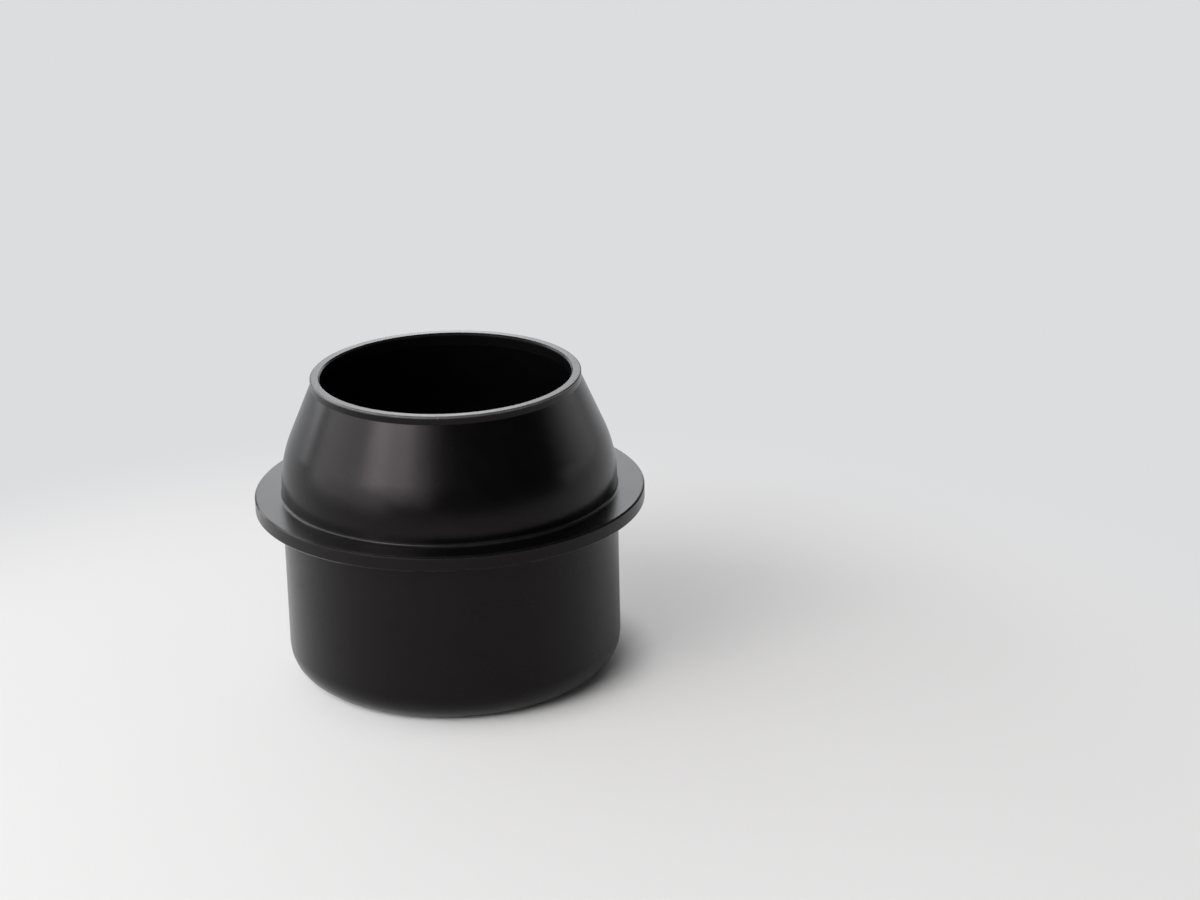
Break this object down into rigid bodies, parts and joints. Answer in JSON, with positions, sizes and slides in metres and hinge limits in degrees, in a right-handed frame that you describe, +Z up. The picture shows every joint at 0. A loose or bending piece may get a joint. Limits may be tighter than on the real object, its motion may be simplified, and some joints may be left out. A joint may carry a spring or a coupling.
{
  "type": "coffee grinder grind cup",
  "caption": "Turned metal cup for ground coffee: straight side with a rounded base, flat flange at mid height, and a rounded shoulder that narrows to a short straight lip.",
  "frame": {"origin": "centre of the base, in the plane that the cup stands on", "axes": "+Z up along the turning axis, from the base to the mouth; +X and +Y square to it, any way round"},
  "size_m": [0.0842, 0.0842, 0.0668],
  "materials": {
    "black_anodised": "fine-blasted and black anodised, satin"
  },
  "bodies": {
    "root": {"grind_cup": "black_anodised"}
  },
  "joints": []
}
